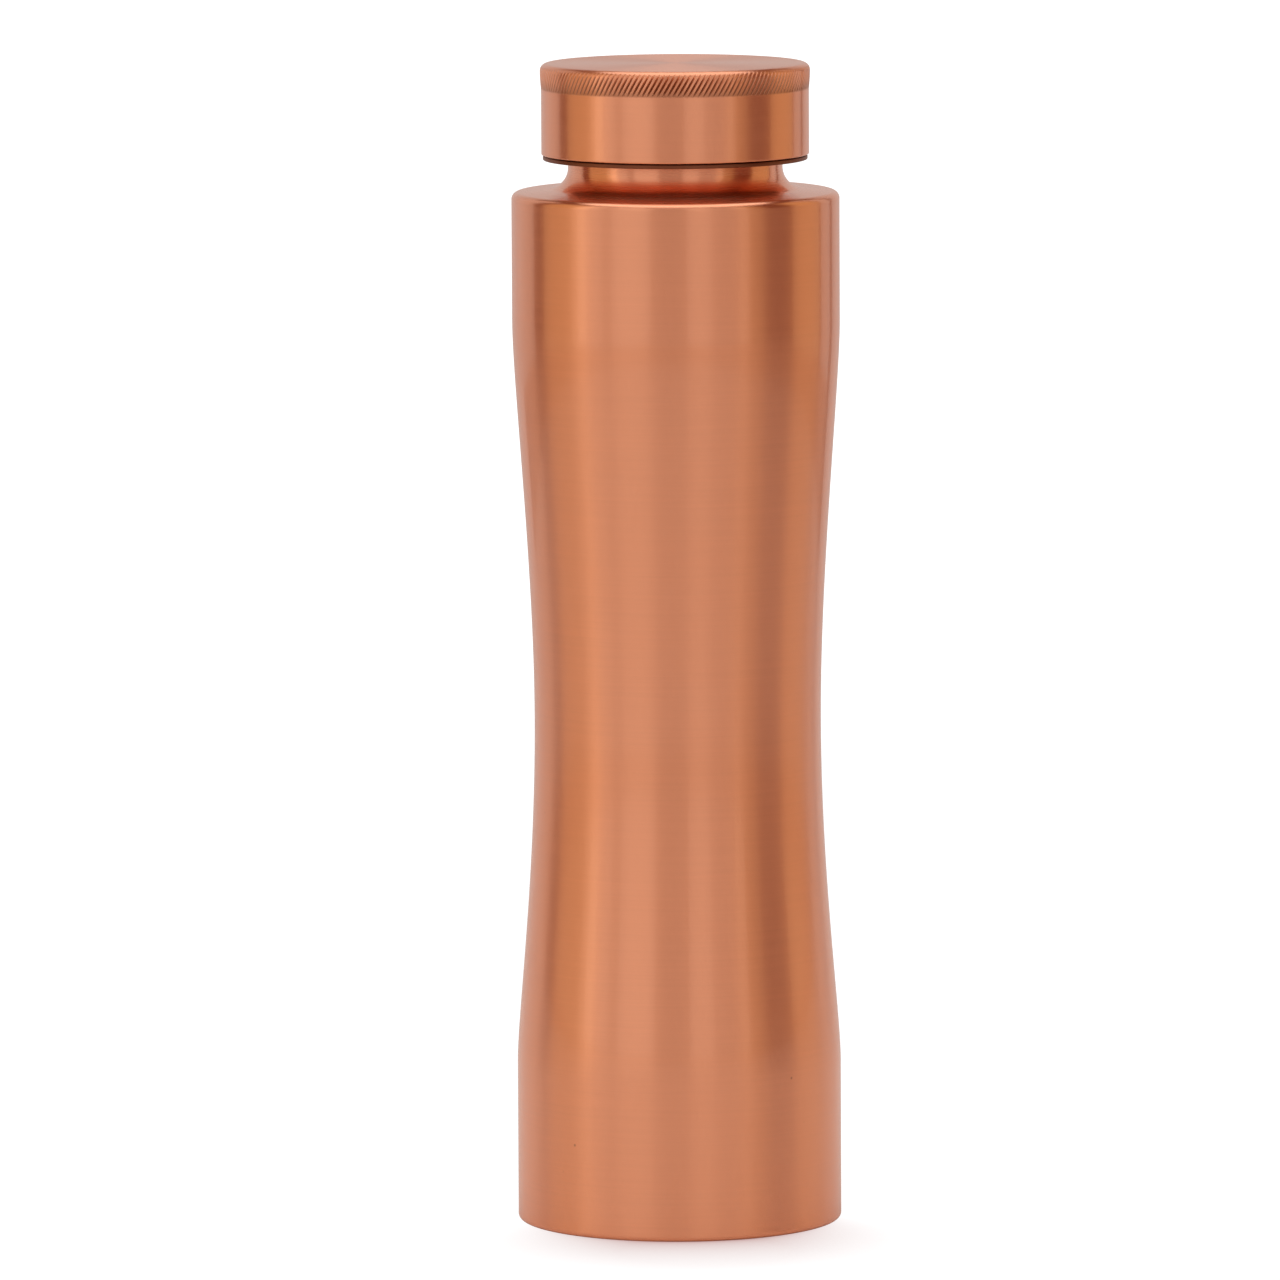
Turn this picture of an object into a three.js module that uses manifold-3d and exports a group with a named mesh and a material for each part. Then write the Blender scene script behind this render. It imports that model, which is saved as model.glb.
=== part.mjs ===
// A spun copper water bottle with a screw cap, in millimetres, +Z up, standing on z = 0.
// Each physical piece is one named mesh. Neighbouring pieces keep a gap of about 0.3 mm.

import * as THREE from "three";
import { mergeVertices } from "three/addons/utils/BufferGeometryUtils.js";
import Module from "manifold-3d";

const wasm = await Module();
wasm.setup();

// ---- driving dimensions ----

const GAP = 0.3;
const WALL = 0.7;
const SIDES = 40;

// The bottle's outside: a straight foot, a long waist and a straight top.
const FOOT_RADIUS = 37.7;
const FOOT_TOP = 36.9;
const WAIST_RADIUS = 33.3;
const WAIST_HEIGHT = 117.5;
const TOP_RADIUS = 38;
const TOP_START = 210.5;
const TOP_END = 238.6;
const SWELL_BELOW = { foot: 11.4, waist: 37.6 };
const SWELL_ABOVE = { waist: 35.2, top: 14.6 };

// The foot's corner and the lip that is turned in under the bottle.
const FOOT_CORNER = 1.2;
const LIP_INNER_RADIUS = 33;

// The shoulder and the neck.
const SHOULDER_CORNER = 1.7;
const SHOULDER_SLOPE = THREE.MathUtils.degToRad(5);
const NECK_RADIUS = 24.85;
const NECK_FILLET = 5;
const NECK_TOP = 250.5;

// The pressed base, recessed in the middle.
const PAN_RIM_TOP = 6.5;
const PAN_STEP_OUTER = 31.5;
const PAN_STEP_INNER = 26.5;
const PAN_RECESS = 4.1;
const PAN_CENTRE = 4.6;
const PAN_CORNER = 1;

// The turned mouth ring.
const MOUTH_INNER_RADIUS = 22.4;
const MOUTH_TOP = 265.4;
const MOUTH_LIP_CORNER = 0.9;
const SPIGOT_BOTTOM = 242;

// The right-hand screw thread, one start.
const LEAD = 4;
const THREAD_TURNS = 2;
const THREAD_HEIGHT = 0.9;
const THREAD_BASE_WIDTH = 2.4;
const THREAD_CREST_WIDTH = 1.1;
const THREAD_ROOT = 0.4;
const THREAD_RUN_OUT = 0.18;
const OUTER_THREAD_RADIUS = 24.9;
const OUTER_THREAD_START = 252.6;
const INNER_THREAD_RADIUS = 26.15;
const INNER_THREAD_DROP = 1.8;

// The cap: a drawn cup, with a threaded sleeve, a disc and a sealing washer inside it.
const CAP_TOP = 270;
const CAP_BOTTOM = 248.9;
const CAP_RADIUS = 31;
const CAP_WALL = 0.9;
const CAP_EDGE_ROUNDING = 0.25;
const KNURL_RADIUS = 31.25;
const KNURL_BOTTOM = 264.1;
const RIM_ROUNDING = 1.6;
const CAP_INNER_CORNER = 0.6;
const SLEEVE_WALL = 1.1;
const SLEEVE_FLANGE_RADIUS = 30.65;
const SLEEVE_FLANGE_THICKNESS = 0.9;
const DISC_THICKNESS = 0.7;
const WASHER_THICKNESS = 2;
const WASHER_INNER_RADIUS = 21;
const WASHER_CHAMFER = 0.35;

// ---- heights and radii that follow from them ----

const capInnerRadius = CAP_RADIUS - CAP_WALL;
const discTop = CAP_TOP - CAP_WALL - GAP;
const discBottom = discTop - DISC_THICKNESS;
const sleeveTop = discBottom - GAP;
const sleeveBottom = CAP_BOTTOM - GAP - SLEEVE_FLANGE_THICKNESS;
const washerTop = discBottom - GAP;

// ---- profile helpers: points hold (radius, height) ----

const point = (radius, height) => new THREE.Vector2(radius, height);

// Points along an arc about (radius, height), from one angle to another in degrees.
function arc(radius, height, size, fromDegrees, toDegrees, steps) {
  const points = [];
  for (let i = 0; i <= steps; i += 1) {
    const angle = THREE.MathUtils.degToRad(fromDegrees + ((toDegrees - fromDegrees) * i) / steps);
    points.push(point(radius + size * Math.cos(angle), height + size * Math.sin(angle)));
  }
  return points;
}

// A smooth change of radius that starts and ends parallel to the axis.
function swell(from, to, leadOut, leadIn, steps) {
  const curve = new THREE.CubicBezierCurve(
    from,
    point(from.x, from.y + leadOut),
    point(to.x, to.y - leadIn),
    to,
  );
  return curve.getPoints(steps);
}

const leftNormal = (a, b) => point(a.y - b.y, b.x - a.x).normalize();

// The profile moved sideways by a distance, to the left of its direction.
function offset(points, distance) {
  return points.map((here, i) => {
    const before = leftNormal(points[Math.max(i - 1, 0)], points[Math.max(i, 1)]);
    const last = points.length - 1;
    const after = leftNormal(points[Math.min(i, last - 1)], points[Math.min(i + 1, last)]);
    const middle = before.clone().add(after).normalize();
    return here.clone().addScaledVector(middle, distance / middle.dot(before));
  });
}

// A sheet of one thickness: its outside, then its inside back to the start.
function sheet(outside, thickness) {
  return [...outside, ...offset(outside, thickness).reverse()];
}

const closed = (profile) => [...profile, profile[0]];

function withoutRepeats(profile) {
  return profile.filter((here, i) => i === 0 || here.distanceTo(profile[i - 1]) > 1e-6);
}

function turned(profile) {
  return new THREE.LatheGeometry(withoutRepeats(profile), SIDES).rotateX(Math.PI / 2);
}

// ---- the screw thread ----

// One ridge as a straight bar, then wound on a helix. side is 1 for a thread that
// stands outwards from the radius and -1 for one that stands inwards.
function threadRidge(radius, startHeight, side) {
  const halfBase = THREAD_BASE_WIDTH / 2;
  const halfCrest = THREAD_CREST_WIDTH / 2;
  const section = new THREE.Shape([
    point(-halfBase, -THREAD_ROOT),
    point(halfBase, -THREAD_ROOT),
    point(halfBase, 0),
    point(halfCrest, THREAD_HEIGHT),
    point(-halfCrest, THREAD_HEIGHT),
    point(-halfBase, 0),
  ]);
  const bar = new THREE.ExtrudeGeometry(section, {
    depth: THREAD_TURNS,
    steps: THREAD_TURNS * SIDES,
    bevelEnabled: false,
  });
  const position = bar.getAttribute("position");
  for (let i = 0; i < position.count; i += 1) {
    const turns = position.getZ(i);
    const toEnd = Math.min(turns, THREAD_TURNS - turns);
    const run = THREE.MathUtils.smoothstep(toEnd, 0, THREAD_RUN_OUT);
    const rise = position.getY(i) > 0 ? position.getY(i) * run : position.getY(i);
    const distance = radius + side * (rise - 0.05 * (1 - run));
    const angle = turns * 2 * Math.PI;
    const height = startHeight + turns * LEAD + side * position.getX(i);
    position.setXYZ(i, distance * Math.cos(angle), distance * Math.sin(angle), height);
  }
  return bar;
}

// ---- joining closed bodies ----

function solidOf(geometry) {
  const bare = geometry.clone();
  bare.deleteAttribute("normal");
  bare.deleteAttribute("uv");
  const merged = mergeVertices(bare, 1e-4);
  return new wasm.Manifold(
    new wasm.Mesh({
      numProp: 3,
      vertProperties: merged.getAttribute("position").array,
      triVerts: merged.getIndex().array,
    }),
  );
}

function geometryOf(solid) {
  const mesh = solid.getMesh();
  const geometry = new THREE.BufferGeometry();
  geometry.setAttribute("position", new THREE.BufferAttribute(mesh.vertProperties, 3));
  geometry.setIndex(new THREE.BufferAttribute(mesh.triVerts, 1));
  return geometry;
}

const joined = (a, b) => geometryOf(solidOf(a).add(solidOf(b)));

// ---- the pieces ----

// The spun wall, from the lip under the foot up to the top of the neck.
function bodyShell() {
  const degrees = THREE.MathUtils.radToDeg(SHOULDER_SLOPE);
  const cornerRadius = TOP_RADIUS - SHOULDER_CORNER;
  const corner = arc(cornerRadius, TOP_END, SHOULDER_CORNER, 0, 90 - degrees, 3);
  const coneStart = corner[corner.length - 1];
  const filletRadius = NECK_RADIUS + NECK_FILLET;
  const coneEnd = filletRadius - NECK_FILLET * Math.sin(SHOULDER_SLOPE);
  const filletHeight =
    coneStart.y +
    (coneStart.x - coneEnd) * Math.tan(SHOULDER_SLOPE) +
    NECK_FILLET * Math.cos(SHOULDER_SLOPE);
  const foot = point(FOOT_RADIUS, FOOT_TOP);
  const waist = point(WAIST_RADIUS, WAIST_HEIGHT);
  const top = point(TOP_RADIUS, TOP_START);
  const outside = withoutRepeats([
    point(LIP_INNER_RADIUS, 0),
    ...arc(FOOT_RADIUS - FOOT_CORNER, FOOT_CORNER, FOOT_CORNER, -90, 0, 3),
    ...swell(foot, waist, SWELL_BELOW.foot, SWELL_BELOW.waist, 7),
    ...swell(waist, top, SWELL_ABOVE.waist, SWELL_ABOVE.top, 7),
    ...corner,
    ...arc(filletRadius, filletHeight, NECK_FILLET, 270 - degrees, 180, 4),
    point(NECK_RADIUS, NECK_TOP),
  ]);
  return turned(closed(sheet(outside, WALL)));
}

// The pressed base inside the foot: an upright rim, a flat seat and a raised middle.
function basePan() {
  const rimRadius = FOOT_RADIUS - WALL - GAP - 0.1;
  const seat = WALL + GAP;
  const step = (part) => {
    const share = THREE.MathUtils.smoothstep(part, 0, 1);
    const radius = THREE.MathUtils.lerp(PAN_STEP_INNER, PAN_STEP_OUTER, part);
    return point(radius, THREE.MathUtils.lerp(PAN_RECESS, seat, share));
  };
  const underside = [
    point(0, PAN_CENTRE),
    point(PAN_STEP_INNER / 2, (PAN_CENTRE * 3 + PAN_RECESS) / 4),
    ...[0, 0.25, 0.5, 0.75, 1].map(step),
    ...arc(rimRadius - PAN_CORNER, seat + PAN_CORNER, PAN_CORNER, -90, 0, 3),
    point(rimRadius, PAN_RIM_TOP),
  ];
  const upper = offset(underside, WALL);
  upper[0].x = 0;
  return turned([...underside, ...upper.reverse()]);
}

// The mouth: a spigot inside the neck, a shoulder on its edge, the thread and a round lip.
function mouthRing() {
  const spigotRadius = NECK_RADIUS - WALL - GAP;
  const shoulder = NECK_TOP + GAP;
  const lip = MOUTH_TOP - MOUTH_LIP_CORNER;
  const lipOuter = OUTER_THREAD_RADIUS - MOUTH_LIP_CORNER;
  const lipInner = MOUTH_INNER_RADIUS + MOUTH_LIP_CORNER;
  const ring = turned(
    closed([
      point(MOUTH_INNER_RADIUS, SPIGOT_BOTTOM),
      point(spigotRadius, SPIGOT_BOTTOM),
      point(spigotRadius, shoulder),
      point(OUTER_THREAD_RADIUS, shoulder),
      ...arc(lipOuter, lip, MOUTH_LIP_CORNER, 0, 90, 3),
      ...arc(lipInner, lip, MOUTH_LIP_CORNER, 90, 180, 3),
    ]),
  );
  return joined(ring, threadRidge(OUTER_THREAD_RADIUS, OUTER_THREAD_START, 1));
}

// The drawn outside of the cap, with the band that carries the knurling.
function capShell() {
  const rim = CAP_TOP - RIM_ROUNDING;
  const innerCorner = CAP_TOP - CAP_WALL - CAP_INNER_CORNER;
  const edge = CAP_BOTTOM + CAP_EDGE_ROUNDING;
  return turned([
    point(0, CAP_TOP - CAP_WALL),
    ...arc(capInnerRadius - CAP_INNER_CORNER, innerCorner, CAP_INNER_CORNER, 90, 0, 2),
    point(capInnerRadius, CAP_BOTTOM),
    point(CAP_RADIUS - CAP_EDGE_ROUNDING, CAP_BOTTOM),
    point(CAP_RADIUS, edge),
    point(CAP_RADIUS, KNURL_BOTTOM),
    point(KNURL_RADIUS, KNURL_BOTTOM),
    ...arc(KNURL_RADIUS - RIM_ROUNDING, rim, RIM_ROUNDING, 0, 90, 4),
    point(0, CAP_TOP),
  ]);
}

// The threaded sleeve inside the cap, with a flange that closes the cap's lower edge.
function capSleeve() {
  const outer = INNER_THREAD_RADIUS + SLEEVE_WALL;
  const flangeTop = sleeveBottom + SLEEVE_FLANGE_THICKNESS;
  const ring = turned(
    closed([
      point(INNER_THREAD_RADIUS, sleeveBottom),
      point(SLEEVE_FLANGE_RADIUS, sleeveBottom),
      point(SLEEVE_FLANGE_RADIUS, flangeTop),
      point(outer, flangeTop),
      point(outer, sleeveTop),
      point(INNER_THREAD_RADIUS, sleeveTop),
    ]),
  );
  const start = OUTER_THREAD_START - INNER_THREAD_DROP;
  return joined(ring, threadRidge(INNER_THREAD_RADIUS, start, -1));
}

// The disc between the cap's top and the sleeve.
function capDisc() {
  return turned([
    point(0, discBottom),
    point(capInnerRadius - GAP - 0.1, discBottom),
    point(capInnerRadius - GAP - 0.1, discTop - 0.5),
    point(capInnerRadius - GAP - 0.5, discTop),
    point(0, discTop),
  ]);
}

// The silicone washer that the disc presses on the mouth.
function sealingWasher() {
  const outer = INNER_THREAD_RADIUS - GAP;
  const bottom = washerTop - WASHER_THICKNESS;
  return turned(
    closed([
      point(WASHER_INNER_RADIUS + WASHER_CHAMFER, bottom),
      point(outer - WASHER_CHAMFER, bottom),
      point(outer, bottom + WASHER_CHAMFER),
      point(outer, washerTop - WASHER_CHAMFER),
      point(outer - WASHER_CHAMFER, washerTop),
      point(WASHER_INNER_RADIUS + WASHER_CHAMFER, washerTop),
      point(WASHER_INNER_RADIUS, washerTop - WASHER_CHAMFER),
      point(WASHER_INNER_RADIUS, bottom + WASHER_CHAMFER),
    ]),
  );
}

// ---- materials ----

const copper = (color, roughness) =>
  new THREE.MeshStandardMaterial({ color, roughness, metalness: 1 });

const brushedCopper = copper(0xc9835c, 0.32);
const turnedCopper = copper(0xc07a52, 0.26);
const plainCopper = copper(0xb06f4c, 0.4);
const silicone = new THREE.MeshStandardMaterial({ color: 0xe9e6df, roughness: 0.55, metalness: 0 });

// ---- the bottle ----

function piece(name, geometry, material) {
  const mesh = new THREE.Mesh(geometry, material);
  mesh.name = name;
  return mesh;
}

const bottle = new THREE.Group();
bottle.add(piece("body_shell", bodyShell(), brushedCopper));
bottle.add(piece("base_pan", basePan(), plainCopper));
bottle.add(piece("mouth_ring", mouthRing(), turnedCopper));

const cap = new THREE.Group();
cap.add(piece("cap_shell", capShell(), brushedCopper));
cap.add(piece("cap_sleeve", capSleeve(), turnedCopper));
cap.add(piece("cap_disc", capDisc(), plainCopper));
cap.add(piece("sealing_washer", sealingWasher(), silicone));
bottle.add(cap);

export default bottle;
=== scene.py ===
"""The copper water bottle's fine meshes and finishes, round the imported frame.

Everything is in metres, in the frame's own axes: +Z up, the foot on z = 0. Each piece is turned
about Z, so it starts as half an outline, extruded point by point and spun.
"""

import math

import bpy
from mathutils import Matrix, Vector


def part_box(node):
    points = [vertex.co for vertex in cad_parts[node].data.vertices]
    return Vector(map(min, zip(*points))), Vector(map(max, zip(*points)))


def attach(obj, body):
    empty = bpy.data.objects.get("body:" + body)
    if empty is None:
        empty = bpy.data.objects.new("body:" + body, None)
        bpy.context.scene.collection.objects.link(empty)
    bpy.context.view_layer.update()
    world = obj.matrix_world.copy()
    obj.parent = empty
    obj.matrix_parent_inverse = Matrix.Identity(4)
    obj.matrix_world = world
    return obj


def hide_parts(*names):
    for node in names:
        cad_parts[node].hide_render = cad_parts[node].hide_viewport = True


bl_info = {
    "name": "Copper Water Bottle",
    "version": (1, 0, 0),
    "blender": (4, 5, 0),
    "location": "3D View > Sidebar > Bottle",
    "description": "Models a spun copper bottle with a knurled screw cap",
    "category": "Add Mesh",
}

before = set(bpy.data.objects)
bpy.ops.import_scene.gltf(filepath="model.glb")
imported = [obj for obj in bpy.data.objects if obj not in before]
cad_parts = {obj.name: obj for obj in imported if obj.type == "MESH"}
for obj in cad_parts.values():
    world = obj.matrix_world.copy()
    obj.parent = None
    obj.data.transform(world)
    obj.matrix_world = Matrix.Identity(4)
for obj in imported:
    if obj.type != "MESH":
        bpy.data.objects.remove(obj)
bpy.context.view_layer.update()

MM = 0.001
WELD = 0.002 * MM
SMOOTH_ANGLE = math.radians(35)
GAP = 0.3 * MM
EDGE = 0.2 * MM

SHELL_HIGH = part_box("body_shell")[1]
PAN_LOW, PAN_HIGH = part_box("base_pan")
MOUTH_LOW, MOUTH_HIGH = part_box("mouth_ring")
CAP_LOW, CAP_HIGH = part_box("cap_shell")
SLEEVE_LOW, SLEEVE_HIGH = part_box("cap_sleeve")
DISC_LOW, DISC_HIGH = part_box("cap_disc")
WASHER_LOW, WASHER_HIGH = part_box("sealing_washer")

# Sizes of the shell's outline that its box doesn't give.
FOOT_TOP = 36.9 * MM
FOOT_CORNER = 1.2 * MM
LIP_INNER_RADIUS = 33 * MM
TOP_START = 210.5 * MM
TOP_END = 238.6 * MM
SWELL_BELOW = (11.4 * MM, 37.6 * MM)
SWELL_ABOVE = (35.2 * MM, 14.6 * MM)
SHOULDER_CORNER = 1.7 * MM
SHOULDER_SLOPE = math.radians(5)
NECK_FILLET = 5 * MM
RIDGE_PITCH = 1.2 * MM
RIDGE_HEIGHT = 0.012 * MM
NECK_POLISH = 0.78
ROUGHNESS_SPREAD = 0.03

# The pressed base.
PAN_STEP_OUTER = 31.5 * MM
PAN_STEP_INNER = 26.5 * MM
PAN_RECESS = 4.1 * MM
PAN_CENTRE = 4.6 * MM
PAN_CORNER = 1 * MM

# The mouth and the two threads.
MOUTH_INNER_RADIUS = 22.4 * MM
MOUTH_ROOT_RADIUS = 24.9 * MM
MOUTH_LIP = 0.9 * MM
THREAD_SIDES = 192
THREAD_STEPS = 96
THREAD_LEAD = 4 * MM
THREAD_TURNS = 2
THREAD_HEIGHT = 0.9 * MM
THREAD_BASE = 2.4 * MM
THREAD_CREST = 1.1 * MM
THREAD_ROOT = 0.4 * MM
THREAD_SUNK = 0.05 * MM
THREAD_RUN_OUT = 16
MOUTH_THREAD_START = 252.6 * MM
SLEEVE_THREAD_START = 250.8 * MM

# The cap and what is inside it.
CAP_WALL = 0.9 * MM
CAP_RIM = 1.6 * MM
CAP_EDGE = 0.25 * MM
CAP_INNER_CORNER = 0.6 * MM
CAP_RING_LINE = 28.4 * MM
KNURL_LOW = 264.1 * MM
KNURL_RIM_ANGLE = 40
KNURL_LEAN = math.radians(30)
GROOVE_DEPTH = 0.34 * MM
SLEEVE_BORE = 26.15 * MM
SLEEVE_WALL = 1.1 * MM
SLEEVE_FLANGE = 0.9 * MM
DISC_CHAMFER = 0.3 * MM
WASHER_INNER_RADIUS = 21 * MM
WASHER_ROUNDING = 0.35 * MM


# ---- sizes and colours that a user would change ----


class BottleSizes(bpy.types.PropertyGroup):
    foot_radius: bpy.props.FloatProperty(
        name="Foot Radius", description="Outside of the straight foot",
        default=37.7 * MM, unit="LENGTH",
    )
    waist_radius: bpy.props.FloatProperty(
        name="Waist Radius", description="Outside of the waist at its narrowest",
        default=33.3 * MM, unit="LENGTH",
    )
    waist_height: bpy.props.FloatProperty(
        name="Waist Height", description="Height of the narrowest place above the table",
        default=117.5 * MM, unit="LENGTH",
    )
    top_radius: bpy.props.FloatProperty(
        name="Top Radius", description="Outside of the straight top",
        default=SHELL_HIGH.x, unit="LENGTH",
    )
    neck_radius: bpy.props.FloatProperty(
        name="Neck Radius", description="Outside of the neck under the cap",
        default=24.85 * MM, unit="LENGTH",
    )
    wall: bpy.props.FloatProperty(
        name="Wall", description="Thickness of the spun copper",
        default=0.7 * MM, unit="LENGTH",
    )
    cap_radius: bpy.props.FloatProperty(
        name="Cap Radius", description="Outside of the cap's skirt",
        default=31 * MM, unit="LENGTH",
    )
    knurl_teeth: bpy.props.IntProperty(
        name="Knurl Teeth", description="Ridges round the cap's knurled band",
        default=164, min=12,
    )
    sides: bpy.props.IntProperty(
        name="Sides", description="Steps round a full turn of a large piece",
        default=256, min=32,
    )


class BottleColours(bpy.types.PropertyGroup):
    copper: bpy.props.FloatVectorProperty(
        name="Copper", description="Brushed copper of the outside",
        subtype="COLOR", default=(0.88, 0.40, 0.225), min=0, max=1,
    )
    turned_copper: bpy.props.FloatVectorProperty(
        name="Turned Copper", description="Bare copper of the threads",
        subtype="COLOR", default=(0.78, 0.33, 0.19), min=0, max=1,
    )
    inside_copper: bpy.props.FloatVectorProperty(
        name="Inside Copper", description="Dull copper inside the bottle and the cap",
        subtype="COLOR", default=(0.62, 0.24, 0.13), min=0, max=1,
    )
    silicone: bpy.props.FloatVectorProperty(
        name="Silicone", description="The sealing washer",
        subtype="COLOR", default=(0.80, 0.78, 0.72), min=0, max=1,
    )


# ---- outlines: lists of (radius, height) ----


def arc(radius, height, size, start, end, steps):
    """Points on an arc about (radius, height), from a start to an end angle in degrees."""
    points = []
    for i in range(steps + 1):
        angle = math.radians(start + (end - start) * i / steps)
        points.append((radius + size * math.cos(angle), height + size * math.sin(angle)))
    return points


def straight(start, end, step=4 * MM):
    """A straight stretch, with a point near each end that keeps its shading flat."""
    length = math.dist(start, end)
    near = min(0.3 * MM, length / 4)
    count = max(1, round((length - 2 * near) / step))
    between = [near + (length - 2 * near) * i / count for i in range(count + 1)]
    points = []
    for place in (0, *between, length):
        share = place / length
        points.append((start[0] + (end[0] - start[0]) * share, start[1] + (end[1] - start[1]) * share))
    return points


def swell(start, end, lead_out, lead_in, steps):
    """A smooth change of radius that leaves and arrives parallel to the axis."""
    corners = (start, (start[0], start[1] + lead_out), (end[0], end[1] - lead_in), end)
    points = []
    for i in range(steps + 1):
        t = i / steps
        weights = ((1 - t) ** 3, 3 * (1 - t) ** 2 * t, 3 * (1 - t) * t ** 2, t ** 3)
        radius = sum(weight * corner[0] for weight, corner in zip(weights, corners))
        height = sum(weight * corner[1] for weight, corner in zip(weights, corners))
        points.append((radius, height))
    return points


def without_repeats(points):
    kept = points[:1]
    for point in points[1:]:
        if math.dist(point, kept[-1]) > WELD:
            kept.append(point)
    return kept


def left_normal(a, b):
    return Vector((a[1] - b[1], b[0] - a[0])).normalized()


def offset(points, distance):
    """The outline moved to its left by a distance."""
    moved = []
    last = len(points) - 1
    for i, point in enumerate(points):
        before = left_normal(points[max(i - 1, 0)], points[max(i, 1)])
        after = left_normal(points[min(i, last - 1)], points[min(i + 1, last)])
        middle = (before + after).normalized()
        moved.append(tuple(Vector(point) + middle * (distance / middle.dot(before))))
    return moved


# ---- modelling by operators ----


def make_active(piece):
    if bpy.context.mode != "OBJECT":
        bpy.ops.object.mode_set(mode="OBJECT")
    bpy.ops.object.select_all(action="DESELECT")
    if piece:
        piece.select_set(True)
        bpy.context.view_layer.objects.active = piece


def single_vertex(name):
    """A new object in edit mode that holds one selected vertex at the origin."""
    make_active(None)
    bpy.ops.mesh.primitive_plane_add(size=MM)
    piece = bpy.context.active_object
    piece.name = name
    piece.data.name = name
    bpy.ops.object.mode_set(mode="EDIT")
    bpy.ops.mesh.select_mode(type="VERT")
    bpy.ops.mesh.select_all(action="SELECT")
    bpy.ops.mesh.merge(type="CENTER")
    return piece


def trace(points):
    """Moves the selected vertex to the first point and extrudes it through the others."""
    here = Vector((points[0][0], 0, points[0][1]))
    bpy.ops.transform.translate(value=here)
    for radius, height in points[1:]:
        there = Vector((radius, 0, height))
        bpy.ops.mesh.extrude_region_move(TRANSFORM_OT_translate={"value": there - here})
        here = there


def weld():
    """Merges what lies together, turns the faces outwards and leaves edit mode."""
    bpy.ops.mesh.select_all(action="SELECT")
    bpy.ops.mesh.remove_doubles(threshold=WELD)
    bpy.ops.mesh.normals_make_consistent(inside=False)
    bpy.ops.object.mode_set(mode="OBJECT")


def turned(name, outline, steps):
    """A solid of revolution: its outline starts and ends on the axis, or closes on itself."""
    piece = single_vertex(name)
    trace(without_repeats(outline))
    bpy.ops.mesh.select_all(action="SELECT")
    bpy.ops.mesh.spin(steps=steps, angle=math.tau, center=(0, 0, 0), axis=(0, 0, 1))
    weld()
    bpy.ops.object.shade_smooth_by_angle(angle=SMOOTH_ANGLE)
    return piece


def select_points(piece, wanted):
    """In edit mode, selects the vertices whose place passes the test, and nothing else."""
    bpy.ops.mesh.select_all(action="DESELECT")
    bpy.ops.object.mode_set(mode="OBJECT")
    for vertex in piece.data.vertices:
        vertex.select = wanted(vertex.co)
    bpy.ops.object.mode_set(mode="EDIT")


def grow_ring(points):
    """Extrudes the selected ring of edges, round the axis, through (radius, height) points."""
    for before, after in zip(points, points[1:]):
        rise = (0, 0, after[1] - before[1])
        bpy.ops.mesh.extrude_region_move(TRANSFORM_OT_translate={"value": rise})
        size = after[0] / before[0]
        bpy.ops.transform.resize(value=(size, size, 1), center_override=(0, 0, after[1]))


def paint_faces(piece, slot, wanted):
    """Gives a material slot to the faces whose centre and normal pass the test."""
    make_active(piece)
    bpy.ops.object.mode_set(mode="EDIT")
    bpy.ops.mesh.select_mode(type="FACE")
    bpy.ops.mesh.select_all(action="DESELECT")
    bpy.ops.object.mode_set(mode="OBJECT")
    for polygon in piece.data.polygons:
        polygon.select = wanted(polygon.center, polygon.normal)
    piece.active_material_index = slot
    bpy.ops.object.mode_set(mode="EDIT")
    bpy.ops.object.material_slot_assign()
    bpy.ops.object.mode_set(mode="OBJECT")


def finish_piece(piece, node, body, slot, *materials):
    """Gives a piece its materials, and ties it to the frame."""
    for material in materials:
        piece.data.materials.append(material)
    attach(piece, body)
    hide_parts(node)


# ---- node helpers ----


def math_node(tree, operation, a, b=None):
    node = tree.nodes.new("ShaderNodeMath")
    node.operation = operation
    for socket, value in zip(node.inputs, (a, b)):
        if isinstance(value, bpy.types.NodeSocket):
            tree.links.new(value, socket)
        elif value is not None:
            socket.default_value = value
    return node.outputs[0]


def noise(tree, vector, scale, detail, roughness):
    node = tree.nodes.new("ShaderNodeTexNoise")
    node.inputs["Scale"].default_value = scale
    node.inputs["Detail"].default_value = detail
    node.inputs["Roughness"].default_value = roughness
    tree.links.new(vector, node.inputs["Vector"])
    return node.outputs["Fac"]


def remap(tree, value, low, high, new_low, new_high):
    node = tree.nodes.new("ShaderNodeMapRange")
    node.inputs["From Min"].default_value = low
    node.inputs["From Max"].default_value = high
    node.inputs["To Min"].default_value = new_low
    node.inputs["To Max"].default_value = new_high
    tree.links.new(value, node.inputs["Value"])
    return node.outputs["Result"]


def mix_colour(tree, share, a, b):
    node = tree.nodes.new("ShaderNodeMix")
    node.data_type = "RGBA"
    factor, first, second = node.inputs[0], node.inputs[6], node.inputs[7]
    tree.links.new(share, factor)
    for socket, value in ((first, a), (second, b)):
        if isinstance(value, bpy.types.NodeSocket):
            tree.links.new(value, socket)
        else:
            socket.default_value = (*value[:3], 1)
    return node.outputs[2]


def new_group(name, inputs, outputs):
    tree = bpy.data.node_groups.new(name, "ShaderNodeTree")
    for label, default in inputs:
        socket = tree.interface.new_socket(label, in_out="INPUT", socket_type="NodeSocketFloat")
        socket.default_value = default
    for label in outputs:
        tree.interface.new_socket(label, in_out="OUTPUT", socket_type="NodeSocketFloat")
    return tree, tree.nodes.new("NodeGroupInput"), tree.nodes.new("NodeGroupOutput")


def place_group(tree, name, make, **values):
    node = tree.nodes.new("ShaderNodeGroup")
    node.node_tree = bpy.data.node_groups.get(name) or make(name)
    for label, value in values.items():
        node.inputs[label].default_value = value
    return node


def bump(tree, height, distance, shader):
    node = tree.nodes.new("ShaderNodeBump")
    node.inputs["Distance"].default_value = distance
    tree.links.new(height, node.inputs["Height"])
    tree.links.new(node.outputs["Normal"], shader.inputs["Normal"])


def darker(colour, share):
    return tuple(channel * share for channel in colour)


# ---- finishes ----


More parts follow.
